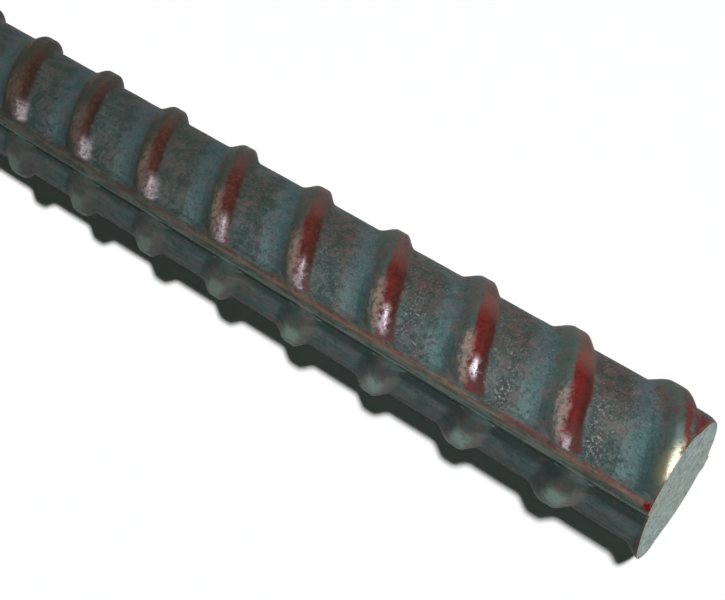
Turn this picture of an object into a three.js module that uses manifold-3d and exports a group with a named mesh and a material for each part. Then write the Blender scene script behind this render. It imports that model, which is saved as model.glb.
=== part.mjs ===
// Deformed reinforcing bar, half-inch size, cut to a two-foot length.
//
// One hot-rolled steel bar: a round core, two long ribs that run its whole length on
// opposite sides, and transverse ribs that arch over each half of the core between them.
// Both halves lean towards the same end, so they mirror each other across the long ribs.
// Millimetres, +Z up. The bar lies along X, at rest on z = 0, with x = 0 at mid-length.

import * as THREE from "three";
import { mergeVertices } from "three/addons/utils/BufferGeometryUtils.js";
import Module from "manifold-3d";

// --- driving dimensions ------------------------------------------------------------------

const BAR_LENGTH = 609.6; // between the two cut faces
const CORE_DIAMETER = 11.9;

const LONG_RIB_HEIGHT = 0.75; // above the core
const LONG_RIB_CREST = 0.95; // width across the top
const LONG_RIB_BASE = 1.7; // width where it leaves the core

const RIB_PITCH = 8.9; // from one transverse rib to the next
const RIB_BASE = 3.8; // along the bar, over the feet of both flanks
const RIB_CREST = 1.6; // along the bar, across the top
const RIB_HEIGHT_CROWN = 0.88; // halfway between the long ribs
const RIB_HEIGHT_FOOT = 0.6; // where the rib runs into a long rib
const RIB_LEAN_CROWN = THREE.MathUtils.degToRad(29); // from square across the bar
const RIB_LEAN_FOOT = THREE.MathUtils.degToRad(15);

const LAST_FOOT_PAST_CUT = 0.9; // on one half, the last rib starts this far past the +X cut
const OTHER_HALF_AHEAD = 2.0; // the ribs of the other half stand this much nearer +X

const ARCH_FACETS = 7; // flats on each half of the core
const SPARE_PITCHES = 2; // rolled past each cut, then cut off

// --- the section -------------------------------------------------------------------------

const coreRadius = CORE_DIAMETER / 2;
const footAngle = Math.asin(LONG_RIB_BASE / 2 / coreRadius);
const facetAngle = (Math.PI - 2 * footAngle) / ARCH_FACETS;
// Flats that hold as much steel as the round core does have their corners a little outside it.
const cornerRadius = coreRadius * Math.sqrt(facetAngle / Math.sin(facetAngle));

// Height of a transverse rib, and how far it has run towards -X, at an angle measured from
// one long rib (0) over the crown (90 degrees) to the other long rib (180 degrees).
function ribHeight(angle) {
  return RIB_HEIGHT_FOOT + (RIB_HEIGHT_CROWN - RIB_HEIGHT_FOOT) * Math.sin(angle);
}

function ribRun(angle) {
  const extraLean = Math.tan(RIB_LEAN_CROWN) - Math.tan(RIB_LEAN_FOOT);
  return coreRadius * (Math.tan(RIB_LEAN_FOOT) * angle + extraLean * (1 - Math.cos(angle)));
}

function pointAt(angle, radius) {
  return new THREE.Vector2(radius * Math.cos(angle), radius * Math.sin(angle));
}

// Corners of one half of the core, from the first long rib's foot to the second's.
function archAngles() {
  return Array.from({ length: ARCH_FACETS + 1 }, (_, i) => footAngle + i * facetAngle);
}

// The rolled section without transverse ribs: its long ribs lie on +u and -u.
function sectionShape() {
  const crestRadius = coreRadius + LONG_RIB_HEIGHT;
  const half = [
    new THREE.Vector2(crestRadius, LONG_RIB_CREST / 2),
    ...archAngles().map((a) => pointAt(a, cornerRadius)),
    new THREE.Vector2(-crestRadius, LONG_RIB_CREST / 2),
  ];
  const otherHalf = half.map((p) => p.clone().negate());
  return new THREE.Shape([...half, ...otherHalf]);
}

// --- the rolled bar ----------------------------------------------------------------------

// Each pitch has four rows of corners: a rib's near foot, both edges of its crest, far foot.
const ROWS = [
  { offset: -RIB_BASE / 2, raised: false },
  { offset: -RIB_CREST / 2, raised: true },
  { offset: RIB_CREST / 2, raised: true },
  { offset: RIB_BASE / 2, raised: false },
];

// The section is extruded with one step between rows, then every row is moved to its place:
// the rib's rows stand on the core and follow the rib's run round it.
function rolledBar() {
  const pitches = Math.ceil(BAR_LENGTH / RIB_PITCH) + 2 * SPARE_PITCHES;
  const steps = pitches * ROWS.length - 1;
  const bar = new THREE.ExtrudeGeometry(sectionShape(), {
    depth: steps,
    steps,
    bevelEnabled: false,
  });
  bar.deleteAttribute("normal");
  bar.deleteAttribute("uv");

  const lastRib = BAR_LENGTH / 2 + LAST_FOOT_PAST_CUT + SPARE_PITCHES * RIB_PITCH;
  const firstRib = lastRib - (pitches - 1) * RIB_PITCH;
  const position = bar.attributes.position;
  const corner = new THREE.Vector2();
  for (let i = 0; i < position.count; i++) {
    corner.set(position.getX(i), position.getY(i));
    const index = Math.round(position.getZ(i));
    const row = ROWS[index % ROWS.length];
    const rib = Math.floor(index / ROWS.length);
    const ahead = corner.y > 0 ? OTHER_HALF_AHEAD : 0;
    const angle = Math.atan2(Math.abs(corner.y), corner.x);

    const onCore = Math.abs(corner.length() - cornerRadius) < 1e-3;
    if (row.raised && onCore) corner.setLength(cornerRadius + ribHeight(angle));

    const along = firstRib + rib * RIB_PITCH + row.offset + ahead - ribRun(angle);
    position.setXYZ(i, along, corner.x, corner.y);
  }
  return mergeVertices(bar);
}

// --- how it lies -------------------------------------------------------------------------

// The bar lies beside one long rib, on the two places of its section that the floor touches
// when the middle is lowest: corners of the transverse ribs, or one and the long rib's edge.
// The lean is that of the long rib from straight down.
function restingLean() {
  const edge = new THREE.Vector2(coreRadius + LONG_RIB_HEIGHT, LONG_RIB_CREST / 2);
  const places = [edge, ...archAngles().map((a) => pointAt(a, cornerRadius + ribHeight(a)))];
  const middleHeight = (lean) => Math.max(...places.map((p) => p.dot(pointAt(lean, 1))));
  const leans = places.flatMap((p, i) =>
    places.slice(i + 1).map((q) => Math.atan2(p.x - q.x, q.y - p.y)),
  );
  return leans.reduce((best, lean) => (middleHeight(lean) < middleHeight(best) ? lean : best));
}

// --- cutting to length -------------------------------------------------------------------

function solidOf(wasm, geometry) {
  const vertProperties = Float32Array.from(geometry.attributes.position.array);
  const triVerts = Uint32Array.from(geometry.index.array);
  return new wasm.Manifold(new wasm.Mesh({ numProp: 3, vertProperties, triVerts }));
}

function geometryOf(solid) {
  const mesh = solid.getMesh();
  const geometry = new THREE.BufferGeometry();
  geometry.setAttribute("position", new THREE.BufferAttribute(mesh.vertProperties, mesh.numProp));
  geometry.setIndex(new THREE.BufferAttribute(mesh.triVerts, 1));
  return geometry;
}

function plainMesh(geometry) {
  geometry.deleteAttribute("normal");
  geometry.deleteAttribute("uv");
  return mergeVertices(geometry);
}

const wasm = await Module();
wasm.setup();

const wide = 4 * CORE_DIAMETER;
const cutLength = solidOf(wasm, plainMesh(new THREE.BoxGeometry(BAR_LENGTH, wide, wide)));
const barGeometry = geometryOf(solidOf(wasm, rolledBar()).intersect(cutLength));

barGeometry.rotateX(Math.PI / 2 + restingLean());
barGeometry.computeBoundingBox();
barGeometry.translate(0, 0, -barGeometry.boundingBox.min.z);
barGeometry.computeVertexNormals();

const millScale = new THREE.MeshStandardMaterial({
  color: 0x4d5a5c,
  roughness: 0.5,
  metalness: 0.7,
});

const bar = new THREE.Mesh(barGeometry, millScale);
bar.name = "reinforcing_bar";

const model = new THREE.Group();
model.add(bar);

export default model;
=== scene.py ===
"""The looks of a deformed reinforcing bar, half-inch size, lying on a pale floor.

The bar is one fine mesh: a round core, two long ribs, and transverse ribs with rounded tops
and filleted feet, cut flat at both ends. Mill scale, rust, wear, and painted shade and
highlights are procedural, and are placed by what the mesh knows about itself: where its ribs,
their flanks and its cuts are.

The near end is the cut end at +X, the one in the photo. The upper long rib is the one that
shows there. It parts the upper half of the section, towards +Y, from the lower, towards -Y.
"""

import math

import bmesh
import bpy
import numpy as np
from mathutils import Matrix, Vector, noise

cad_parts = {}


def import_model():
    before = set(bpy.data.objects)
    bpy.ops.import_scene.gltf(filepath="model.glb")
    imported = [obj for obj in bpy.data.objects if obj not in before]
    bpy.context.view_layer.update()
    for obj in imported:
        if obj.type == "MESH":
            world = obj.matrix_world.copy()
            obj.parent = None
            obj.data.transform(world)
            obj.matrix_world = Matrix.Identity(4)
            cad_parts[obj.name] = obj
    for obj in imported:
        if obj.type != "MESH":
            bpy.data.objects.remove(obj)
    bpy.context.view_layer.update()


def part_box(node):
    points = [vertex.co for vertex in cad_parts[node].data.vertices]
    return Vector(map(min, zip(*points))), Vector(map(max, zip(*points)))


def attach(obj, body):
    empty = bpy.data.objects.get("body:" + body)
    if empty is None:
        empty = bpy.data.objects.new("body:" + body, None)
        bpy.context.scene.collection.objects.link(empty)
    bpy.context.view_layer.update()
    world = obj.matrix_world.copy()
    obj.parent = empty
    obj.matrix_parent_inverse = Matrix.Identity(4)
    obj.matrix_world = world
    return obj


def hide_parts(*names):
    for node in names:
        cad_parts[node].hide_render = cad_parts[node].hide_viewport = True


MM = 0.001

# --- the bar, in millimetres -------------------------------------------------------------

CORE_RADIUS = 5.95

LONG_RIB_HEIGHT = 0.75
LONG_RIB_TOP = 0.45  # half the width of its top
LONG_RIB_FOOT = 0.92  # half its width at the core, over the fillets
LONG_RIB_DISH = 0.06  # how far its top sinks between its edges
LONG_RIB_LEAN = math.radians(17.7)  # of the upper long rib, from straight up towards -Y

RIB_PITCH = 8.9
RIB_TOP = 0.45  # half the rounded top, along the bar
RIB_NEAR_FOOT = 1.75  # from the crest to the foot of the steeper flank, towards +X
RIB_FAR_FOOT = 2.25
RIB_HEIGHT_CROWN = 0.88
RIB_HEIGHT_FOOT = 0.68
RIB_LEAN_CROWN = math.radians(29)
RIB_LEAN_FOOT = math.radians(15)
JOIN_REACH = 0.24  # difference in height within which a rib and a long rib run together
JOIN_FILLET = 0.03  # thickness of the fillet where the two are level
RIB_FADE = 0.3  # how far below a long rib's surface the finish of a rib's crest has gone

LAST_FOOT_PAST_CUT = 0.9  # on the upper half, the last rib starts this far past the near cut
OTHER_HALF_AHEAD = 2.0  # the ribs of the lower half stand this much nearer +X

# Unevenness, in three sizes: how wide its swells, dents and roughness are, and how high.
SWELL_WIDTH = 11.0
SWELL_HEIGHT = 0.03
DENT_WIDTH = 2.3
DENT_HEIGHT = 0.018
ROUGHNESS_WIDTH = 0.9
ROUGHNESS_HEIGHT = 0.008
RIB_STRAYS = 0.1  # how far a swell moves a rib along the bar
RIB_VARIES = 0.05  # the share of a rib's height and of its flanks that varies
LONG_RIB_STRAYS = 0.035  # how far a dent moves the edge of a long rib
NOISE_SHIFT = (17.3, -5.1, 9.7)  # between one pattern and the next

# What the shear did to the near end, and both cuts.
PRESSED_SIDE = math.radians(260)  # the middle of the side it pressed, round the section
PRESSED_IN = 0.12  # by the cut, easing out over PRESSED_LENGTH
PRESSED_LENGTH = 7.0
PRESSED_FROM = 0.2  # cosine of the angle from PRESSED_SIDE where the pressing begins
END_DRAG = 0.95  # how far it dragged the crowns of the ribs with it, easing out
END_DRAG_LENGTH = 14.0
END_DRAG_CURVE = 1.5  # how much the drag gathers at the crowns
EDGE_ROLL = 0.22  # how far the edge of a cut is rolled in on the pressed side
EDGE_ROLL_LEAST = 0.25  # the share of it on the opposite side
EDGE_ROLL_CURVE = 2.5
EDGE_ROWS = (0.1, 0.25, 0.5, 0.9)  # rows added before a cut, and the last is where the roll ends

# --- the mesh ----------------------------------------------------------------------------

FINE_PITCHES = 10  # pitches with fine rows, counted from the near cut
FINE_ROWS = (22, 9)  # rows on a rib, rows in the valley after it
PLAIN_ROWS = (10, 3)
LONG_RIB_COLUMNS = 14
ARCH_COLUMNS = 30
LONG_RIB_ZONE = math.radians(10.5)  # either side of a long rib's middle
SPARE_PITCHES = 2

# Rings of a cut face, from its edge inwards: share of the way out, and depth under the cut.
CUT_RINGS = ((0.985, 0.02), (0.955, 0.045), (0.86, 0.055), (0.7, 0.05), (0.5, 0.05), (0.27, 0.05))
CUT_MIDDLE_DEPTH = 0.05
CUT_RIPPLES = ((0.03, 1.6), (0.02, 0.5))  # height and width of each kind

SLICE_SNAP = 1e-7  # metres
SAME_PLACE = 1e-6


def smooth(x):
    x = np.clip(x, 0, 1)
    return x * x * (3 - 2 * x)


def rib_run(angle):
    """How far a rib has run towards -X, at an angle from the first long rib."""
    extra = math.tan(RIB_LEAN_CROWN) - math.tan(RIB_LEAN_FOOT)
    return CORE_RADIUS * (math.tan(RIB_LEAN_FOOT) * angle + extra * (1 - np.cos(angle)))


def noise_at(points, width, seed):
    """Smooth noise from -1 to 1 at points in millimetres, with features about width wide."""
    shift = Vector([seed * step for step in NOISE_SHIFT])
    flat = points.reshape(-1, 3) / width
    values = [noise.noise(Vector(p) + shift) for p in flat]
    return np.array(values).reshape(points.shape[:-1])


def column_angles():
    """Angles round the section, closer together on the long ribs."""
    rib = np.linspace(-LONG_RIB_ZONE, LONG_RIB_ZONE, LONG_RIB_COLUMNS, endpoint=False)
    arch = np.linspace(LONG_RIB_ZONE, math.pi - LONG_RIB_ZONE, ARCH_COLUMNS, endpoint=False)
    half = np.concatenate([rib, arch])
    return np.concatenate([half, half + math.pi])


def row_offsets(rows):
    """Places along one pitch, from the far foot of a rib to the next one's."""
    rib_rows, valley_rows = rows
    rib = np.linspace(-RIB_FAR_FOOT, RIB_NEAR_FOOT, rib_rows, endpoint=False)
    valley = np.linspace(RIB_NEAR_FOOT, RIB_PITCH - RIB_FAR_FOOT, valley_rows, endpoint=False)
    return np.concatenate([rib, valley])


def row_places(half_length):
    """Places of the rows before the ribs' run moves them, from far to near."""
    last = half_length + LAST_FOOT_PAST_CUT + SPARE_PITCHES * RIB_PITCH
    count = math.ceil(2 * half_length / RIB_PITCH) + 2 * SPARE_PITCHES
    places = []
    for back in range(count - 1, -1, -1):
        fine = back < FINE_PITCHES + 2 * SPARE_PITCHES
        places.append(last - back * RIB_PITCH + row_offsets(FINE_ROWS if fine else PLAIN_ROWS))
    return np.concatenate(places)


def section_facts(angles):
    """For each column: the angle from the upper long rib, either way, then its sine, above 0
    on the lower half, and last the share it takes of OTHER_HALF_AHEAD.
    """
    wrapped = (angles + math.pi) % (2 * math.pi) - math.pi
    side = np.sin(wrapped)
    ahead = smooth(0.5 + side / (2 * math.sin(LONG_RIB_ZONE)))
    return np.abs(wrapped), side, ahead


def transverse_rib(offset, from_rib, swell, dents):
    """How far up to its crest a rib is, 0 to 1, and its height, each rib a little different."""
    reach = offset - RIB_STRAYS * swell
    foot = np.where(reach > 0, RIB_NEAR_FOOT, RIB_FAR_FOOT)
    crest = 1 - smooth((np.abs(reach) - RIB_TOP) / (foot - RIB_TOP) * (1 + RIB_VARIES * dents))
    height = RIB_HEIGHT_FOOT + (RIB_HEIGHT_CROWN - RIB_HEIGHT_FOOT) * np.sin(from_rib)
    return crest, crest * height * (1 + RIB_VARIES * swell)


def dished_long_rib(side, dents):
    """How far up to its top a long rib is, 0 to 1, and its height."""
    across = np.abs(CORE_RADIUS * side) + LONG_RIB_STRAYS * dents
    top = 1 - smooth((across - LONG_RIB_TOP) / (LONG_RIB_FOOT - LONG_RIB_TOP))
    dish = LONG_RIB_DISH * (1 - smooth(across / LONG_RIB_TOP))
    return top, top * LONG_RIB_HEIGHT - dish


def joined(crest, rib, top, long_rib):
    """Height of the two kinds of rib together, with a small fillet where they meet."""
    close = np.clip(1 - np.abs(rib - long_rib) / JOIN_REACH, 0, 1)
    return np.maximum(rib, long_rib) + JOIN_FILLET * close**2 * crest * (top > 0)


def pressed_in(around, from_cut):
    """How far the shear pressed the section in, on one side of the near end."""
    pressed = PRESSED_IN * np.clip(1 - from_cut / PRESSED_LENGTH, 0, 1) ** 2
    aside = np.cos(around - PRESSED_SIDE)
    return pressed * smooth((aside - PRESSED_FROM) / (1 - PRESSED_FROM))


def round_the_axis(along, radius, around):
    return np.stack([along, radius * np.cos(around), radius * np.sin(around)], axis=-1)


def bar_surface(half_length):
    """The bar's points and what it knows about itself, as grids of rows by columns."""
    angles = column_angles()
    from_rib, side, ahead = section_facts(angles)
    along = row_places(half_length)[:, None] - rib_run(from_rib) + OTHER_HALF_AHEAD * ahead

    lead = rib_run(from_rib) - np.where(side > 0, OTHER_HALF_AHEAD, 0.0)
    past = along + lead - (half_length + LAST_FOOT_PAST_CUT)
    offset = past - np.round(past / RIB_PITCH) * RIB_PITCH

    around = np.broadcast_to(angles, along.shape)
    core = round_the_axis(along, CORE_RADIUS, around)
    swell = noise_at(core, SWELL_WIDTH, 1)
    dents = noise_at(core, DENT_WIDTH, 2)
    roughness = noise_at(core, ROUGHNESS_WIDTH, 3)

    crest, rib = transverse_rib(offset, from_rib, swell, dents)
    top, long_rib = dished_long_rib(side, dents)
    radius = CORE_RADIUS + joined(crest, rib, top, long_rib)
    radius = radius + SWELL_HEIGHT * swell + DENT_HEIGHT * dents + ROUGHNESS_HEIGHT * roughness

    drag = END_DRAG * np.exp(np.minimum(along - half_length, 0) / END_DRAG_LENGTH)
    along = along + drag * np.sin(from_rib) ** END_DRAG_CURVE
    radius = radius - pressed_in(around, np.maximum(half_length - along, 0))

    facts = {
        "rib": crest * smooth((rib - long_rib + RIB_FADE) / RIB_FADE),
        "rib_phase": past / RIB_PITCH,
        "turn": np.degrees(from_rib),
        "arch": np.sin(from_rib),
        "half": side,
        "long_rib": top,
        "long_across": CORE_RADIUS * side,
    }
    return round_the_axis(along, radius, around), facts


def place_in_frame(points):
    """Turns section coordinates to the way the bar lies on the floor, in metres."""
    x, u, v = points[..., 0], points[..., 1], points[..., 2]
    y = -math.sin(LONG_RIB_LEAN) * u - math.cos(LONG_RIB_LEAN) * v
    z = math.cos(LONG_RIB_LEAN) * u - math.sin(LONG_RIB_LEAN) * v
    return np.stack([x, y, z - z.min()], axis=-1) * MM


def grid_mesh(points, facts):
    """A tube of quads from a grid, its columns closing on themselves."""
    rows, columns = points.shape[:2]
    index = np.arange(rows * columns).reshape(rows, columns)
    beside = np.roll(index, -1, axis=1)
    quads = np.stack([index[:-1], beside[:-1], beside[1:], index[1:]], axis=-1)
    mesh = bpy.data.meshes.new("reinforcing_bar_surface")
    mesh.from_pydata(points.reshape(-1, 3).tolist(), [], quads.reshape(-1, 4).tolist())
    for name, values in facts.items():
        layer = mesh.attributes.new(name, "FLOAT", "POINT")
        every = np.broadcast_to(values, (rows, columns)).astype(np.float32)
        layer.data.foreach_set("value", every.ravel())
    return mesh


def slice_mesh(bm, at, outward, clear_outer):
    """Cuts the mesh across at x = at, and takes away what is past it where asked."""
    bmesh.ops.bisect_plane(
        bm,
        geom=bm.verts[:] + bm.edges[:] + bm.faces[:],
        dist=SLICE_SNAP,
        plane_co=(at, 0, 0),
        plane_no=(outward, 0, 0),
        clear_outer=clear_outer,
    )


def roll_edge(bm, at, outward, middle_z):
    """Rolls the edge of a cut in a little, most on the side that the shear pressed."""
    for back in EDGE_ROWS:
        slice_mesh(bm, at - outward * back * MM, outward, False)
    lean = PRESSED_SIDE + LONG_RIB_LEAN
    pressed_way = Vector((0, -math.sin(lean), math.cos(lean)))
    reach = EDGE_ROWS[-1] * MM
    for vert in bm.verts:
        past = 1 - (at - vert.co.x) * outward / reach
        if past > 0:
            out = Vector((0, vert.co.y, vert.co.z - middle_z)).normalized()
            pressed = max(out.dot(pressed_way), 0)
            share = EDGE_ROLL_LEAST + (1 - EDGE_ROLL_LEAST) * pressed
            vert.co -= out * EDGE_ROLL * MM * share * past**EDGE_ROLL_CURVE


def boundary_loop(edges):
    """Vertices of the one closed loop that the edges make, in order."""
    start = edges[0].verts[0]
    loop, edge, vert = [start], edges[0], edges[0].other_vert(start)
    wanted = set(edges)
    while vert is not start:
        loop.append(vert)
        edge = next(e for e in vert.link_edges if e in wanted and e is not edge)
        vert = edge.other_vert(vert)
    return loop


def middle_of(verts):
    return sum((v.co for v in verts), Vector()) / len(verts)


def cut_vertex(bm, spot, x):
    """A vertex of a cut face, at the spot but at x along the bar."""
    vert = bm.verts.new(spot)
    vert.co.x = x
    vert[bm.verts.layers.float["cut"]] = 1.0
    return vert


def cut_ring(bm, loop, at, outward, scale, depth):
    """The loop drawn in towards its middle, a little rippled, just under x = at."""
    centre = middle_of(loop)
    ring = []
    for vert in loop:
        spot = centre + (vert.co - centre) * scale
        ripple = sum(height * noise.noise(spot / (width * MM)) for height, width in CUT_RIPPLES)
        ring.append(cut_vertex(bm, spot, at - outward * (depth - ripple) * MM))
    return ring


def close_cut(bm, at, outward):
    """Closes the open end at x = at with rings that step in to its middle."""
    edges = [e for e in bm.edges if e.is_boundary and abs(e.verts[0].co.x - at) < SAME_PLACE]
    for edge in edges:
        edge.smooth = False
    loop = boundary_loop(edges)
    outer = loop
    for scale, depth in CUT_RINGS:
        ring = cut_ring(bm, loop, at, outward, scale, depth)
        for i, vert in enumerate(outer):
            j = (i + 1) % len(outer)
            bm.faces.new((vert, outer[j], ring[j], ring[i]))
        outer = ring

    hub = cut_vertex(bm, middle_of(loop), at - outward * CUT_MIDDLE_DEPTH * MM)
    for i, vert in enumerate(outer):
        bm.faces.new((vert, outer[(i + 1) % len(outer)], hub))


def build_bar(box_low, box_high):
    half_length = (box_high.x - box_low.x) / 2 / MM
    points, facts = bar_surface(half_length)
    mesh = grid_mesh(place_in_frame(points), facts)
    mesh.attributes.new("cut", "FLOAT", "POINT")

    bm = bmesh.new()
    bm.from_mesh(mesh)
    for at, outward in ((box_high.x, 1), (box_low.x, -1)):
        slice_mesh(bm, at, outward, True)
        roll_edge(bm, at, outward, (box_low.z + box_high.z) / 2)
        close_cut(bm, at, outward)
    for face in bm.faces:
        face.smooth = True
    bmesh.ops.recalc_face_normals(bm, faces=bm.faces[:])
    bm.to_mesh(mesh)
    bm.free()
    bar = bpy.data.objects.new("bar_surface", mesh)
    bpy.context.collection.objects.link(bar)
    return bar


# --- colours -----------------------------------------------------------------------------


def colour(red, green, blue):
    """A colour given as it looks on a screen, 0 to 255."""
    linear = [c / 12.92 if c <= 0.04045 else ((c + 0.055) / 1.055) ** 2.4
              for c in (red / 255, green / 255, blue / 255)]
    return (*linear, 1.0)


# Where a name has two colours, the finish varies between them. Those that go through
# Surface.tone have the one a long way from the near cut first, and the one beside it second.
# The far ones are mostly darker, partly as painted shade for light that falls off there.
SCALE = (colour(62, 74, 73), colour(97, 111, 109))
SCALE_GRAIN = colour(48, 56, 56)
SCALE_BLOTCH = colour(124, 139, 134)
SCALE_STREAK = colour(122, 133, 129)
CROWN_BROWN = (colour(58, 54, 51), colour(84, 71, 68))
CROWN_FLECK = colour(104, 58, 56)
# painted shade, greenish, towards the crown of the upper half
CROWN_SHADE = colour(28, 55, 52)
TEAL = colour(80, 105, 108)
TEAL_BRIGHT = colour(112, 136, 138)
DARK_SPECK = colour(42, 50, 51)
LIGHT_SPECK = colour(146, 154, 150)
CRUST = (colour(66, 73, 74), colour(168, 171, 166))
RUDDY_CLOUD = colour(114, 82, 77)
GREEN_CLOUD = colour(56, 92, 86)
DARK_GRAIN = colour(44, 48, 46)
# painted shade: light falling off away from the near cut, and a little on the lower half
FALLOFF_SHADE = colour(28, 35, 31)

# painted shade in the crease at a rib's far foot
RIB_FOOT_SHADE = colour(38, 51, 54)
FAR_FLANK = (colour(68, 56, 42), colour(80, 91, 87))
TAN = (colour(128, 108, 88), colour(176, 156, 140))
CHIPS = (colour(126, 103, 92), colour(154, 132, 124))
RUST = (colour(87, 50, 40), colour(108, 28, 29))
RUST_DOWN_FLANK = (colour(68, 42, 33), colour(78, 36, 28))
RUST_BLOTCH = colour(58, 28, 25)
RUST_GRAIN = colour(58, 32, 29)
RUST_FRESH = colour(122, 74, 62)
# a painted pinkish highlight on the red near the long rib, most far from the cut
RUST_PAINTED_HIGHLIGHT = colour(112, 90, 95)
RUST_CROWN = (colour(90, 66, 56), colour(122, 84, 78))

LAST_STREAKS = colour(88, 58, 58)
# painted sheen on the last rib's crest
LAST_SHEEN = colour(118, 142, 138)
# painted shade on the near flank of the last rib
LAST_FLANK_SHADE = colour(50, 50, 60)
LAST_LINE = colour(108, 46, 44)
LAST_PATCH = colour(92, 30, 30)
WORN_YELLOW = colour(134, 131, 98)
STEEL = (colour(160, 155, 158), colour(206, 205, 213))
STEEL_OF_LAST_RIB = colour(204, 204, 184)

LONG_RIB_FILLET = colour(42, 50, 49)
LONG_RIB_OLIVE = (colour(66, 71, 66), colour(93, 97, 89))
LONG_RIB_WARM = (colour(134, 114, 98), colour(130, 96, 88))
LONG_RIB_RED = (colour(76, 56, 44), colour(104, 52, 48))
LONG_RIB_EDGE = colour(112, 130, 122)
# painted shadow of the long rib on the core below it
LONG_RIB_SHADOW = colour(74, 89, 86)
# painted light, over the long rib's own shadow at its foot
LONG_RIB_FOOT_LIGHT = colour(124, 140, 134)
# painted shade in a strip past the long rib's foot
LONG_RIB_SHADE = colour(36, 45, 43)

LOWER_SCALE = (colour(64, 77, 75), colour(90, 103, 100))
LOWER_START = colour(86, 92, 90)
LOWER_DULL = colour(92, 82, 79)
LOWER_PALE = colour(142, 164, 156)
LOWER_SIDE = colour(113, 112, 110)
# painted shade on the far flanks of the lower ribs, more of it far from the cut
LOWER_FLANK_SHADE = colour(42, 50, 50)
# painted shadow of the long rib, on the lower ribs where they start
LOWER_SHADE_BY_LONG_RIB = colour(42, 52, 50)
# painted shade on the underside, towards the floor
LOWER_UNDERSIDE_SHADE = colour(30, 39, 36)

CUT_RIM = colour(104, 76, 62)
CUT_RED_DAB = colour(100, 26, 28)
CUT_FACE = (colour(144, 158, 155), colour(176, 189, 185))
CUT_YELLOWER = colour(158, 160, 140)
CUT_GRAIN = colour(108, 122, 126)
CUT_PIT = colour(70, 82, 88)

# --- materials ---------------------------------------------------------------------------

# In the finishes below, an offset or a distance from the cut is in millimetres, and a turn
# in degrees. An offset is from the nearest rib's crest, and below 0 on its far side.

# along this span painted shade also changes, darker far from the cut
NEAR_SPAN = (80.0, 5.0)  # from the near cut, where the finish starts to change, and has changed
LAST_RIB_SPAN = (6.1, 5.6)  # from the near cut, in front of which a rib is the last one
HALVES_MEET = 0.12  # sine of the turn within which the upper half fades into the lower
SPECULAR = 0.015
BUMP_STRENGTH = 0.6
BUMP_HEIGHT = 0.09  # millimetres
STREAK_SQUEEZE = (0.16, 1, 1)  # of the pattern's coordinates, which draws streaks along the bar


class Nodes:
    """Short ways to add the nodes of one material, or of the world."""

    def __init__(self, name, kind=bpy.data.materials):
        self.material = kind.new(name)
        self.material.use_nodes = True
        self.tree = self.material.node_tree
        self.tree.nodes.clear()

    def add(self, kind, **settings):
        node = self.tree.nodes.new(kind)
        for key, value in settings.items():
            setattr(node, key, value)
        return node

    def put(self, socket, value):
        if isinstance(value, bpy.types.NodeSocket):
            self.tree.links.new(value, socket)
        else:
            socket.default_value = value

    def attribute(self, name):
        return self.add("ShaderNodeAttribute", attribute_name=name).outputs["Fac"]

    def vector(self, operation, vector, by):
        """The vector scaled by a number, or multiplied by another vector."""
        node = self.add("ShaderNodeVectorMath", operation=operation)
        self.put(node.inputs[0], vector)
        self.put(node.inputs["Scale"] if operation == "SCALE" else node.inputs[1], by)
        return node.outputs[0]

    def math(self, operation, *values):
        node = self.add("ShaderNodeMath", operation=operation)
        for socket, value in zip(node.inputs, values):
            self.put(socket, value)
        return node.outputs[0]

    def plus(self, a, b):
        return self.math("ADD", a, b)

    def minus(self, a, b):
        return self.math("SUBTRACT", a, b)

    def product_plus(self, a, b, more):
        return self.math("MULTIPLY_ADD", a, b, more)

    def times(self, *values):
        """All the values multiplied together."""
        product = values[0]
        for value in values[1:]:
            product = self.math("MULTIPLY", product, value)
        return product

    def ramp(self, value, low, high, to_low=0.0, to_high=1.0):
        """value from low to high becomes to_low to to_high, easing in and out."""
        node = self.add("ShaderNodeMapRange", interpolation_type="SMOOTHSTEP")
        names = ("Value", "From Min", "From Max", "To Min", "To Max")
        for name, v in zip(names, (value, low, high, to_low, to_high)):
            self.put(node.inputs[name], v)
        return node.outputs["Result"]

    def band(self, value, start, full, end, gone):
        """1 between full and end, easing to 0 at start and gone."""
        return self.times(self.ramp(value, start, full), self.ramp(value, end, gone, 1.0, 0.0))

    def strayed(self, value, pattern, amount):
        """value moved by up to half the amount either way, as a pattern from 0 to 1 says."""
        return self.product_plus(pattern, amount, self.minus(value, amount / 2))

    def mix(self, amount, a, b):
        node = self.add("ShaderNodeMix", data_type="RGBA")
        self.put(node.inputs["Factor"], amount)
        self.put(node.inputs[6], a)
        self.put(node.inputs[7], b)
        return node.outputs[2]

    def paint(self, base, colour, *amounts):
        """The colour laid over base, as thick as all the amounts multiplied together."""
        return self.mix(self.times(*amounts), base, colour)

    def noise(self, where, width, detail, roughness):
        """A cloudy pattern from 0 to 1, with clouds about width millimetres wide."""
        node = self.add("ShaderNodeTexNoise")
        self.put(node.inputs["Vector"], where)
        node.inputs["Scale"].default_value = 1 / width
        node.inputs["Detail"].default_value = detail
        node.inputs["Roughness"].default_value = roughness
        return node.outputs["Fac"]


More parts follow.
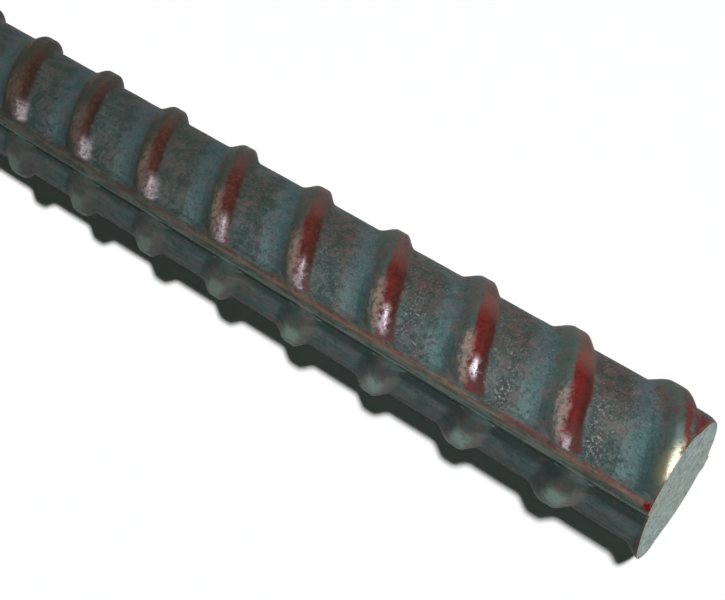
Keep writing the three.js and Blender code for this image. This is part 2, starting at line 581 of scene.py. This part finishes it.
class Surface:
    """Where a point of the bar is, and the patterns that its finish is made of, as sockets."""

    def __init__(self, n, near_x):
        self.n = n
        self.place = n.vector("SCALE", n.add("ShaderNodeTexCoord").outputs["Object"], 1 / MM)
        split = n.add("ShaderNodeSeparateXYZ")
        n.put(split.inputs[0], self.place)
        self.from_cut = n.minus(near_x / MM, split.outputs["X"])  # the near one
        self.near = n.ramp(self.from_cut, *NEAR_SPAN)  # 0 a long way from it, 1 beside it
        self.last_rib = n.ramp(self.from_cut, *LAST_RIB_SPAN)  # 1 on the one the cut runs through

        phase = n.attribute("rib_phase")
        self.offset = n.times(n.minus(phase, n.math("ROUND", phase)), RIB_PITCH)
        self.rib = n.attribute("rib")  # 1 on a transverse rib's crest, 0 off the rib
        self.turn = n.attribute("turn")  # degrees round the bar from the upper long rib
        self.arch = n.attribute("arch")  # 0 at the middle of a long rib, 1 halfway between them
        self.long_rib = n.attribute("long_rib")  # 1 on top of a long rib, 0 off it
        self.across = n.attribute("long_across")  # from a long rib's middle, towards -Y
        self.cut = n.attribute("cut")  # 1 on the cut faces
        self.upper = n.ramp(n.attribute("half"), HALVES_MEET, -HALVES_MEET)
        self.lower = n.minus(1.0, self.upper)

        drawn = n.vector("MULTIPLY", self.place, STREAK_SQUEEZE)
        self.patches = n.noise(self.place, 5.0, 3.0, 0.6)
        self.cloud = n.noise(self.place, 1.5, 4.0, 0.65)
        self.blotch = n.noise(self.place, 0.8, 3.0, 0.6)
        self.streak = n.noise(drawn, 0.5, 3.0, 0.6)
        self.grain = n.noise(self.place, 0.38, 3.0, 0.65)
        self.speck = n.noise(self.place, 0.15, 2.0, 0.6)
        # The offset, with a ragged edge to whatever starts or ends at it.
        torn = n.product_plus(self.grain, 0.6, n.minus(self.offset, 0.65))
        self.ragged = n.product_plus(self.streak, 0.7, torn)

    def nearing(self, far, near):
        """A number or amount that goes from far to near on the way to the near cut."""
        return self.n.ramp(self.near, 0.0, 1.0, far, near)

    def tone(self, colours):
        """The first colour a long way from the near cut, and the second beside it."""
        return self.n.mix(self.near, *colours)


def mill_scale(n, at):
    """Blue-grey scale, mottled and faintly streaked."""
    base = n.mix(n.ramp(at.cloud, 0.34, 0.66), *SCALE)
    dark = n.times(n.ramp(at.grain, 0.55, 0.36), n.ramp(at.arch, 0.8, 0.3, 0.4, 0.28))
    base = n.paint(base, SCALE_GRAIN, dark)
    light = n.times(n.ramp(at.blotch, 0.5, 0.7), n.ramp(at.arch, 0.8, 0.3, 0.1, 0.38))
    base = n.paint(base, SCALE_BLOTCH, light)
    return n.paint(base, SCALE_STREAK, n.ramp(at.streak, 0.52, 0.74), 0.3)


def crown_rust(n, at, base):
    """Brown and dull red away from the long ribs on the upper half, and painted shade at the crown.
    """
    start = n.ramp(at.near, 0.2, 0.8, 0.1, 0.4)
    full = n.ramp(at.near, 0.2, 0.8, 0.6, 0.9)
    brown = n.times(n.ramp(at.patches, 0.3, 0.52), n.ramp(at.arch, start, full), at.upper)
    rust = n.mix(n.ramp(at.blotch, 0.35, 0.65), *CROWN_BROWN)
    base = n.paint(base, rust, brown, at.nearing(0.35, 0.85))
    base = n.paint(base, CROWN_FLECK, brown, n.ramp(at.blotch, 0.52, 0.7), at.nearing(0.2, 0.35))
    # painted shade towards the crown, more of it far from the cut
    return n.paint(base, CROWN_SHADE, n.ramp(at.turn, 45.0, 75.0), at.nearing(0.2, 0.05), at.upper)


def teal_band(n, at, base):
    """Smoother, bluer scale before each rib, brightest beside the long rib."""
    edge = n.strayed(at.offset, at.cloud, 3.0)
    band = n.times(n.band(edge, -4.8, -3.3, -2.3, -1.4), n.ramp(at.blotch, 0.25, 0.65, 0.4, 0.85))
    base = n.paint(base, TEAL, band, n.ramp(at.arch, 1.0, 0.6, 0.7, 1.0))
    bright = n.times(n.band(edge, -5.2, -4.3, -3.6, -2.9), n.ramp(at.arch, 0.75, 0.3), at.upper)
    return n.paint(base, TEAL_BRIGHT, bright, n.ramp(at.grain, 0.3, 0.6), 0.6)


def fine_specks(n, at, base):
    """Specks of darker and lighter scale, clearest beside the cut."""
    clear = at.nearing(0.5, 1.0)
    base = n.paint(base, DARK_SPECK, n.ramp(at.speck, 0.46, 0.3), clear, 0.4)
    return n.paint(base, LIGHT_SPECK, n.ramp(at.speck, 0.54, 0.72), clear, 0.3)


def crust(n, at):
    """Height of a broken, pitted crust, 0 in its pits and 1 on its grains."""
    grains = n.noise(at.place, 0.24, 3.0, 0.7)
    return n.times(n.ramp(grains, 0.49, 0.62), n.ramp(at.speck, 0.4, 0.6, 0.3, 1.0))


def crusted(n, at):
    """How thick the crust lies: most after each upper rib, and near the cut."""
    clumps = n.ramp(n.noise(at.place, 1.3, 2.0, 0.6), 0.4, 0.56)
    where = n.times(n.band(at.offset, 1.4, 1.8, 3.1, 4.6), n.band(at.turn, 2.0, 10.0, 40.0, 62.0))
    return n.times(where, clumps, n.ramp(at.near, 0.45, 0.97, 0.08, 1.0), at.upper)


def rib_flanks(n, at, base):
    """Painted shade at the far foot, an olive-grey far flank, and a tan top near the long rib."""
    # painted shade along the far foot of each rib
    foot = n.times(n.band(at.offset, -2.8, -2.35, -2.0, -1.5), n.ramp(at.arch, 1.0, 0.4, 0.1, 1.0))
    base = n.paint(base, RIB_FOOT_SHADE, foot, n.ramp(at.near, 0.2, 1.0, 0.35, 0.55))
    end = n.ramp(at.near, 0.0, 0.35, 0.1, -0.6)
    far = n.band(at.offset, -2.0, -1.5, end, n.plus(end, 0.6))
    base = n.paint(base, at.tone(FAR_FLANK), far, n.ramp(at.blotch, 0.3, 0.6, 0.6, 0.9))
    tan = n.times(n.band(at.ragged, -1.5, -1.0, -0.4, 0.0), n.band(at.turn, 12.0, 24.0, 36.0, 48.0))
    tan = n.times(tan, n.ramp(at.blotch, 0.4, 0.62, 0.1, 0.85))
    tan = n.times(tan, n.ramp(at.grain, 0.34, 0.58, 0.35, 1.0))
    return n.paint(base, at.tone(TAN), n.times(tan, n.ramp(at.last_rib, 1.0, 0.0), at.upper))


def lower_streaks(n, at, base):
    """Plainer scale on the lower half, streaked along the bar."""
    plain = n.mix(n.ramp(at.streak, 0.36, 0.64), *LOWER_SCALE)
    return n.paint(base, plain, at.lower, 0.55)


def lower_ribs(n, at, base):
    """The ribs below the long rib: grey and dull where they start, paler farther round."""
    start = n.times(n.band(at.offset, -1.9, -1.2, 1.0, 1.7), n.band(at.turn, 4.0, 12.0, 24.0, 34.0))
    base = n.paint(base, LOWER_START, start, at.lower, 0.6)
    dull = n.times(n.band(at.ragged, -1.4, -0.9, 0.3, 0.9), n.band(at.turn, 10.0, 16.0, 26.0, 32.0))
    base = n.paint(base, LOWER_DULL, dull, at.lower, n.ramp(at.blotch, 0.4, 0.6), 0.7)
    # paler on the shoulders of the lower ribs, most beside the cut
    worn = n.times(n.band(at.ragged, -1.5, -0.6, 0.5, 1.2), n.band(at.arch, 0.38, 0.55, 0.85, 0.98))
    worn = n.times(worn, n.ramp(at.cloud, 0.25, 0.5, 0.45, 1.0), at.lower)
    base = n.paint(base, LOWER_PALE, worn, at.nearing(0.5, 0.95))
    side = n.times(n.band(at.ragged, 0.3, 0.9, 1.2, 1.8), n.band(at.arch, 0.2, 0.4, 0.85, 0.98))
    return n.paint(base, LOWER_SIDE, side, at.lower, 0.75)


def lower_painted_shade(n, at, base):
    """Painted shade on the lower half: on its ribs' far flanks, beside their starts, past their
    tops.
    """
    # painted shade on the far flanks of the lower ribs
    flank = n.band(at.offset, -2.7, -2.2, at.nearing(-1.0, -1.6), -0.5)
    flank = n.times(flank, n.ramp(at.arch, 0.15, 0.4), at.lower, at.nearing(0.7, 0.5))
    base = n.paint(base, LOWER_FLANK_SHADE, flank)
    # painted shadow of the long rib beside where the lower ribs start
    aside = n.math("ABSOLUTE", n.minus(at.offset, n.ramp(at.turn, 6.0, 34.0, 0.5, 0.0)))
    reach = n.ramp(at.turn, 6.0, 34.0, 0.5, 2.0)
    shaded_starts = n.times(n.ramp(aside, reach, n.plus(reach, 0.7)), n.ramp(at.rib, 0.02, 0.2), at.lower)
    base = n.paint(base, LOWER_SHADE_BY_LONG_RIB, shaded_starts, n.ramp(at.turn, 36.0, 24.0), 0.65)
    # painted shade on the underside
    underside_shade = n.times(n.band(at.turn, 42.0, 54.0, 60.0, 78.0), n.ramp(at.rib, 0.0, 0.5, 0.8, 0.55))
    return n.paint(base, LOWER_UNDERSIDE_SHADE, underside_shade, at.lower)


def long_rib_rust(n, at, base, edge):
    """A shaded fillet, an olive top, a warm strip on it and rust along its upper edge."""
    fillet = n.times(n.band(edge, -1.0, -0.8, -0.66, -0.54), n.ramp(at.rib, 0.5, 0.0))
    base = n.paint(base, LONG_RIB_FILLET, fillet, 0.25)
    on_top = n.ramp(at.long_rib, 0.3, 0.8)
    top = n.times(n.band(edge, -0.62, -0.46, 0.42, 0.56), on_top)
    base = n.paint(base, n.mix(n.ramp(at.streak, 0.4, 0.62), *LONG_RIB_OLIVE), top, 0.9)
    warm = n.times(n.band(edge, -0.48, -0.38, -0.14, 0.06), on_top)
    warm = n.times(warm, n.ramp(at.streak, 0.32, 0.56, 0.2, 0.9))
    pinker = n.mix(n.ramp(at.patches, 0.42, 0.55), *LONG_RIB_WARM)
    base = n.paint(base, pinker, warm, at.nearing(0.25, 1.0))
    red = n.times(n.band(edge, -0.66, -0.54, -0.38, -0.22), n.ramp(at.blotch, 0.4, 0.6))
    return n.paint(base, at.tone(LONG_RIB_RED), red, 0.65)


def long_rib_foot(n, at, base, edge):
    """A pale lower edge, and under it painted shadow, a painted light line and a strip of painted
    shade.
    """
    off_ribs = n.ramp(at.rib, 0.5, 0.0, 0.4, 1.0)
    pale = n.times(n.band(edge, 0.32, 0.42, 0.5, 0.6), n.ramp(at.long_rib, 0.3, 0.7))
    base = n.paint(base, LONG_RIB_EDGE, pale, 0.6)
    # painted shadow of the long rib, wider near the cut
    reach = n.ramp(at.near, 0.3, 1.0, 1.2, 1.6)
    under = n.band(edge, 0.56, 0.68, reach, n.plus(reach, 0.7))
    base = n.paint(base, LONG_RIB_SHADOW, n.times(under, off_ribs), 0.75)
    # painted light over the long rib's shadow at its foot
    foot = n.times(n.band(edge, 0.65, 0.85, 1.08, 1.2), n.ramp(at.rib, 0.5, 0.0))
    base = n.paint(base, LONG_RIB_FOOT_LIGHT, foot, n.ramp(at.near, 0.4, 1.0, 0.6, 0.9))
    # painted shade in a strip past the foot, wider near the cut
    end = n.ramp(at.near, 0.4, 1.0, 1.35, 1.8)
    shade_past_foot = n.band(edge, 1.1, 1.24, end, n.plus(end, 0.6))
    return n.paint(base, LONG_RIB_SHADE, shade_past_foot, n.ramp(at.near, 0.4, 1.0, 0.5, 0.7), off_ribs)


def mottling(n, at, base):
    """Faint ruddy and greenish clouds over all of the surface, and fine darker grain."""
    base = n.paint(base, RUDDY_CLOUD, n.ramp(at.cloud, 0.5, 0.66, 0.0, 0.3))
    base = n.paint(base, GREEN_CLOUD, n.ramp(at.cloud, 0.5, 0.34, 0.0, 0.25))
    return n.paint(base, DARK_GRAIN, n.ramp(at.grain, 0.46, 0.34, 0.0, 0.25))


def rust_colour(n, at):
    """Red, darker down the flank and in blotches; painted highlight by the long rib; paler on the
    crown.
    """
    red = n.mix(n.ramp(at.ragged, 0.55, 0.95), at.tone(RUST), at.tone(RUST_DOWN_FLANK))
    red = n.paint(red, RUST_BLOTCH, n.ramp(at.blotch, 0.5, 0.66), 0.6)
    red = n.paint(red, RUST_GRAIN, n.ramp(at.grain, 0.52, 0.38), 0.4)
    fresh = n.times(n.ramp(at.grain, 0.5, 0.64), n.ramp(at.near, 0.4, 1.0, 0.35, 0.1))
    red = n.paint(red, RUST_FRESH, fresh)
    # painted highlight on the red near the long rib
    pale = n.times(n.ramp(at.turn, 30.0, 12.0), n.ramp(at.near, 0.3, 1.0, 0.8, 0.2))
    red = n.paint(red, RUST_PAINTED_HIGHLIGHT, pale)
    return n.paint(red, at.tone(RUST_CROWN), n.ramp(at.arch, 0.8, 0.99, 0.0, 0.8))


def rust_on_ribs(n, at, base):
    """Red from the crest down the near flank of the upper ribs, with tan chips at its start."""
    start = n.ramp(at.near, 0.0, 0.35, 0.1, -0.55)
    start = n.minus(start, n.ramp(at.turn, 4.0, 16.0, -0.3, 0.0))
    down = n.strayed(at.offset, at.blotch, 0.5)
    down = n.plus(down, n.ramp(at.near, 0.3, 0.8, 0.0, -0.3))
    down = n.plus(down, n.ramp(at.near, 0.0, 0.25, -0.25, 0.1))
    down = n.plus(down, n.ramp(at.turn, 8.0, 20.0, -0.2, 0.0))
    stripe = n.times(n.ramp(at.ragged, start, n.plus(start, 0.4)), n.ramp(down, 1.3, 1.0))
    stripe = n.times(stripe, n.ramp(at.long_rib, 0.85, 0.5), n.ramp(at.arch, 0.998, 0.93, 0.5, 1.0))
    upper_rib = n.times(n.ramp(at.last_rib, 1.0, 0.0), at.upper)
    base = n.paint(base, rust_colour(n, at), stripe, upper_rib, 0.95)

    least_grain = n.ramp(at.near, 0.3, 0.8, 0.24, 0.3)
    chips = n.band(n.minus(at.ragged, start), -0.4, 0.05, 0.4, 0.8)
    chips = n.times(chips, n.ramp(at.grain, least_grain, 0.62))
    chips = n.times(chips, n.band(at.turn, 6.0, 14.0, 30.0, 52.0), upper_rib)
    return n.paint(base, at.tone(CHIPS), chips, n.ramp(at.near, 0.1, 0.9, 0.6, 0.9))


def last_rib_marks(n, at, base):
    """On the rib that the cut runs through: brown streaks, a painted sheen, painted shade on the
    near flank with a red line above it, and a dark red patch by the cut.
    """
    here = n.times(at.last_rib, at.upper)
    streaks = n.band(at.offset, -2.0, -1.5, -0.7, -0.2)
    streaks = n.times(streaks, n.band(at.turn, 52.0, 62.0, 80.0, 94.0))
    base = n.paint(base, LAST_STREAKS, streaks, n.ramp(at.blotch, 0.42, 0.6), here, 0.6)
    sheen = n.band(at.offset, -0.9, -0.4, -0.2, 0.2)
    sheen = n.times(sheen, n.band(at.turn, 40.0, 48.0, 54.0, 66.0))
    base = n.paint(base, LAST_SHEEN, sheen, here, 0.5)
    # painted shade on the near flank of the last rib
    flank = n.times(n.band(at.offset, 0.2, 0.45, 1.3, 1.7), n.ramp(at.turn, 62.0, 40.0), here)
    base = n.paint(base, LAST_FLANK_SHADE, flank, 0.8)
    line = n.band(at.ragged, -0.15, 0.1, 0.35, 0.6)
    line = n.times(line, n.band(at.turn, 34.0, 46.0, 78.0, 94.0))
    base = n.paint(base, LAST_LINE, line, here, 0.8)
    patch = n.times(n.ramp(at.offset, 0.6, 1.0), n.band(at.turn, 34.0, 44.0, 82.0, 100.0), here)
    patch = n.times(patch, n.ramp(at.from_cut, 4.5, 3.5))
    patch = n.times(patch, n.ramp(at.blotch, 0.25, 0.42, 0.45, 1.0))
    return n.paint(base, LAST_PATCH, patch, 0.9)


def worn_yellow(n, at):
    """How far the top of the last rib is worn yellow, next to where it is bare."""
    start = n.ramp(at.turn, 28.0, 58.0, -1.8, -0.6)
    worn = n.times(n.ramp(at.offset, start, n.plus(start, 1.0)), n.ramp(at.offset, 0.4, 0.2))
    return n.times(worn, n.band(at.turn, 14.0, 24.0, 38.0, 58.0), at.last_rib, at.upper)


def rubbed_tops(n, at):
    """How bare the tops of the upper ribs are rubbed, beside the long rib."""
    middle = n.ramp(at.near, 0.0, 0.5, 1.25, 0.5)
    aside = n.minus(n.strayed(at.ragged, at.grain, 0.8), middle)
    aside = n.times(aside, n.ramp(at.near, 0.3, 0.9, 0.68, 1.0))
    rubbed = n.band(aside, -0.55, -0.1, 0.1, 0.5)
    beside_cut = n.ramp(at.from_cut, 15.0, 12.0)
    low = n.minus(n.ramp(at.near, 0.7, 0.95, 1.0, 12.0), n.times(beside_cut, 12.0))
    high = n.product_plus(beside_cut, -14.0, n.ramp(at.near, 0.0, 0.8, 26.0, 33.0))
    lengthwise = n.band(at.turn, low, n.plus(low, 8.0), n.minus(high, 10.0), high)
    rubbed = n.times(rubbed, lengthwise, n.ramp(at.grain, 0.3, 0.58, 0.3, 1.0), at.upper)
    rubbed = n.times(rubbed, n.ramp(at.long_rib, 0.9, 0.4), n.ramp(at.last_rib, 1.0, 0.0))
    rubbed = n.times(rubbed, n.ramp(at.near, 0.6, 1.0, 0.36, 0.75))
    return n.times(rubbed, n.ramp(beside_cut, 0.0, 1.0, 1.0, 0.7))


def bare_steel(n, at, yellow):
    """Where steel shows: rubbed on the tops of the ribs, and scraped on the last one."""
    scraped = n.times(yellow, n.ramp(at.offset, -0.9, -0.1), n.ramp(at.grain, 0.34, 0.56, 0.3, 1.0))
    return n.math("MAXIMUM", rubbed_tops(n, at), n.times(scraped, 0.85))


def painted_falloff_shade(n, at):
    """Painted shade for light falling off away from the cut, and a little on the lower half."""
    away = n.ramp(at.from_cut, 8.0, 70.0, 0.0, 0.52)
    away = n.times(away, n.ramp(at.from_cut, 90.0, 220.0, 1.0, 0.5))
    away = n.times(away, n.ramp(at.lower, 0.0, 1.0, 1.0, 0.75))
    return n.math("MAXIMUM", away, n.times(at.lower, 0.12))


def cut_face(n, at, base):
    """Pale sheared steel with fine dark pits, and rust along its edge."""
    rim = n.times(n.ramp(at.from_cut, 0.25, 0.1), n.ramp(at.blotch, 0.35, 0.6, 0.1, 0.8))
    base = n.paint(base, CUT_RIM, rim)
    dab = n.times(n.ramp(at.from_cut, 0.75, 0.5), n.band(at.across, -0.5, -0.3, 0.15, 0.35))
    dab = n.times(dab, n.ramp(at.turn, 12.0, 8.0), n.ramp(at.grain, 0.3, 0.5))
    base = n.paint(base, CUT_RED_DAB, dab)
    face = n.mix(n.ramp(at.blotch, 0.34, 0.66), *CUT_FACE)
    face = n.paint(face, CUT_YELLOWER, n.ramp(at.patches, 0.48, 0.64, 0.0, 0.3))
    face = n.paint(face, CUT_GRAIN, n.ramp(at.grain, 0.5, 0.36), 0.35)
    pits = n.times(n.ramp(at.grain, 0.55, 0.62), n.ramp(at.cloud, 0.42, 0.58))
    face = n.paint(face, CUT_PIT, pits, 0.85)
    return n.paint(base, face, at.cut)


def relief(n, at, crust_height):
    """A fine uneven surface as a bump, less of it on the cuts."""
    height = n.times(at.grain, 0.7)
    height = n.product_plus(at.speck, 0.35, height)
    height = n.product_plus(at.streak, 0.5, height)
    height = n.product_plus(crust_height, 0.9, height)
    bump = n.add("ShaderNodeBump")
    bump.inputs["Strength"].default_value = BUMP_STRENGTH
    bump.inputs["Distance"].default_value = BUMP_HEIGHT * MM
    n.put(bump.inputs["Height"], n.times(height, n.ramp(at.cut, 0.0, 1.0, 1.0, 0.4)))
    return bump.outputs[0]


def scaled_steel(near_x):
    n = Nodes("scaled_steel")
    at = Surface(n, near_x)
    grains = crust(n, at)
    crust_here = crusted(n, at)
    yellow = worn_yellow(n, at)
    bare = bare_steel(n, at, yellow)
    long_rib_edge = n.strayed(at.across, at.cloud, 0.16)

    base = mill_scale(n, at)
    base = crown_rust(n, at, base)
    base = teal_band(n, at, base)
    base = fine_specks(n, at, base)
    base = n.paint(base, n.mix(grains, *CRUST), crust_here, 0.85)
    base = rib_flanks(n, at, base)
    base = lower_streaks(n, at, base)
    base = lower_ribs(n, at, base)
    base = lower_painted_shade(n, at, base)
    base = long_rib_rust(n, at, base, long_rib_edge)
    base = long_rib_foot(n, at, base, long_rib_edge)
    base = mottling(n, at, base)
    base = rust_on_ribs(n, at, base)
    base = last_rib_marks(n, at, base)
    # painted shade, darker away from the near cut and a little on the lower half
    base = n.paint(base, FALLOFF_SHADE, painted_falloff_shade(n, at))
    base = n.paint(base, WORN_YELLOW, yellow, 0.6)
    base = n.paint(base, n.mix(at.last_rib, at.tone(STEEL), STEEL_OF_LAST_RIB), bare)
    base = cut_face(n, at, base)

    shader = n.add("ShaderNodeBsdfPrincipled")
    n.put(shader.inputs["Base Color"], base)
    n.put(shader.inputs["Metallic"], bare)
    shader.inputs["Specular IOR Level"].default_value = SPECULAR
    rough = n.product_plus(at.rib, -0.08, n.ramp(at.grain, 0.3, 0.7, 0.4, 0.6))
    n.put(shader.inputs["Roughness"], n.product_plus(at.cut, 0.25, rough))
    n.put(shader.inputs["Normal"], relief(n, at, n.times(grains, crust_here)))

    out = n.add("ShaderNodeOutputMaterial")
    n.put(out.inputs["Surface"], shader.outputs[0])
    return n.material


def seen_white(n, otherwise):
    """White as the camera and reflections see it, and another colour for all other light."""
    light = n.add("ShaderNodeLightPath").outputs
    seen = n.math("MAXIMUM", light["Is Camera Ray"], light["Is Glossy Ray"])
    seen = n.math("MAXIMUM", seen, light["Is Transmission Ray"])
    return n.mix(seen, (*otherwise, 1), (1, 1, 1, 1))


def pale_floor():
    n = Nodes("pale_floor")
    shader = n.add("ShaderNodeBsdfDiffuse")
    n.put(shader.inputs["Color"], seen_white(n, FLOOR_BOUNCE))
    out = n.add("ShaderNodeOutputMaterial")
    n.put(out.inputs["Surface"], shader.outputs[0])
    return n.material


# --- stage -------------------------------------------------------------------------------

FLOOR_SIZE = 6.0
FLOOR_BOUNCE = (0.75, 0.75, 0.75)
WORLD_LIGHT = (0.018, 0.027, 0.022)
KEY_LIGHT = 3.4
KEY_SOFTNESS = math.radians(4)
KEY_ALONG = math.radians(16)  # of the key from straight up, towards the near end
KEY_OVER = math.radians(20.5)  # and towards +Y
FILL_LIGHT = 0.5
FILL_SOFTNESS = math.radians(6)
FILL_RISE = math.radians(2)  # of the fill above the floor, so that it hardly lights the floor
FILL_ALONG = math.radians(25)  # of the fill from -Y, towards the near end


def build_floor():
    mesh = bpy.data.meshes.new("floor")
    half = FLOOR_SIZE / 2
    corners = [(-half, -half, 0), (half, -half, 0), (half, half, 0), (-half, half, 0)]
    mesh.from_pydata(corners, [], [(0, 1, 2, 3)])
    floor = bpy.data.objects.new("floor", mesh)
    mesh.materials.append(pale_floor())
    bpy.context.collection.objects.link(floor)
    return floor


def build_world():
    n = Nodes("studio", bpy.data.worlds)
    background = n.add("ShaderNodeBackground")
    n.put(background.inputs["Color"], seen_white(n, WORLD_LIGHT))
    out = n.add("ShaderNodeOutputWorld")
    n.put(out.inputs["Surface"], background.outputs[0])
    bpy.context.scene.world = n.material


def build_sun(name, strength, softness, towards):
    """A sun lamp that stands in the direction towards, seen from the bar."""
    sun = bpy.data.lights.new(name, "SUN")
    sun.energy = strength
    sun.angle = softness
    lamp = bpy.data.objects.new(name, sun)
    lamp.rotation_euler = towards.to_track_quat("Z", "Y").to_euler()
    bpy.context.collection.objects.link(lamp)


def build_lamps():
    across = math.cos(KEY_ALONG)
    key = (math.sin(KEY_ALONG), across * math.sin(KEY_OVER), across * math.cos(KEY_OVER))
    build_sun("key", KEY_LIGHT, KEY_SOFTNESS, Vector(key))
    level = math.cos(FILL_RISE)
    fill = (level * math.sin(FILL_ALONG), -level * math.cos(FILL_ALONG), math.sin(FILL_RISE))
    build_sun("fill", FILL_LIGHT, FILL_SOFTNESS, Vector(fill))


# --- camera ------------------------------------------------------------------------------

IMAGE_SIZE = (725, 600)
SENSOR_WIDTH = 36.0
FOCAL_PIXELS = 1285.0
CLIP_RANGE = (0.005, 20)
NEAR_END_PIXEL = (680.2, 484.5)  # where the middle of the near cut falls
NEAR_END_DEPTH = 100.3  # millimetres in front of the camera
BAR_SLANT = math.radians(30.48)  # of the bar in the picture, falling to the right
BAR_TILT = math.radians(24.34)  # of the near end towards the camera
LONG_RIB_BELOW_VIEW = math.radians(24.26)  # round the bar, from the side that faces the camera


def camera_turn():
    """The camera's rotation, from three directions at the bar as it sees them.

    They are along the bar to its near end, out to the side that faces the camera, and out to
    the side at the top of the picture, each in the world and in the camera's x, y and z:
    right, up and back.
    """
    facing = LONG_RIB_BELOW_VIEW - LONG_RIB_LEAN
    in_world = Matrix(
        (
            (1, 0, 0),
            (0, math.sin(facing), math.cos(facing)),
            (0, math.cos(facing), -math.sin(facing)),
        )
    )
    cos_s, sin_s = math.cos(BAR_SLANT), math.sin(BAR_SLANT)
    cos_t, sin_t = math.cos(BAR_TILT), math.sin(BAR_TILT)
    in_camera = Matrix(
        (
            (cos_t * cos_s, -cos_t * sin_s, sin_t),
            (-sin_t * cos_s, sin_t * sin_s, cos_t),
            (sin_s, cos_s, 0),
        )
    )
    return in_world.transposed() @ in_camera


def build_camera(near_end):
    data = bpy.data.cameras.new("camera")
    data.sensor_width = SENSOR_WIDTH
    data.lens = FOCAL_PIXELS / IMAGE_SIZE[0] * SENSOR_WIDTH
    data.clip_start, data.clip_end = CLIP_RANGE
    camera = bpy.data.objects.new("camera", data)
    bpy.context.collection.objects.link(camera)
    bpy.context.scene.camera = camera

    turn = camera_turn()
    depth = NEAR_END_DEPTH * MM
    right = (NEAR_END_PIXEL[0] - IMAGE_SIZE[0] / 2) / FOCAL_PIXELS * depth
    down = (NEAR_END_PIXEL[1] - IMAGE_SIZE[1] / 2) / FOCAL_PIXELS * depth
    place = near_end - turn @ Vector((right, -down, -depth))
    camera.matrix_world = Matrix.Translation(place) @ turn.to_4x4()


# --- the scene ---------------------------------------------------------------------------


def main():
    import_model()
    low, high = (Vector(corner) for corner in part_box("reinforcing_bar"))

    bar = build_bar(low, high)
    bar.data.materials.append(scaled_steel(high.x))
    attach(bar, "root")
    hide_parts("reinforcing_bar")

    build_floor()
    build_world()
    build_lamps()
    build_camera(Vector((high.x, 0, (low.z + high.z) / 2)))

    bpy.context.scene.view_settings.view_transform = "Standard"


main()
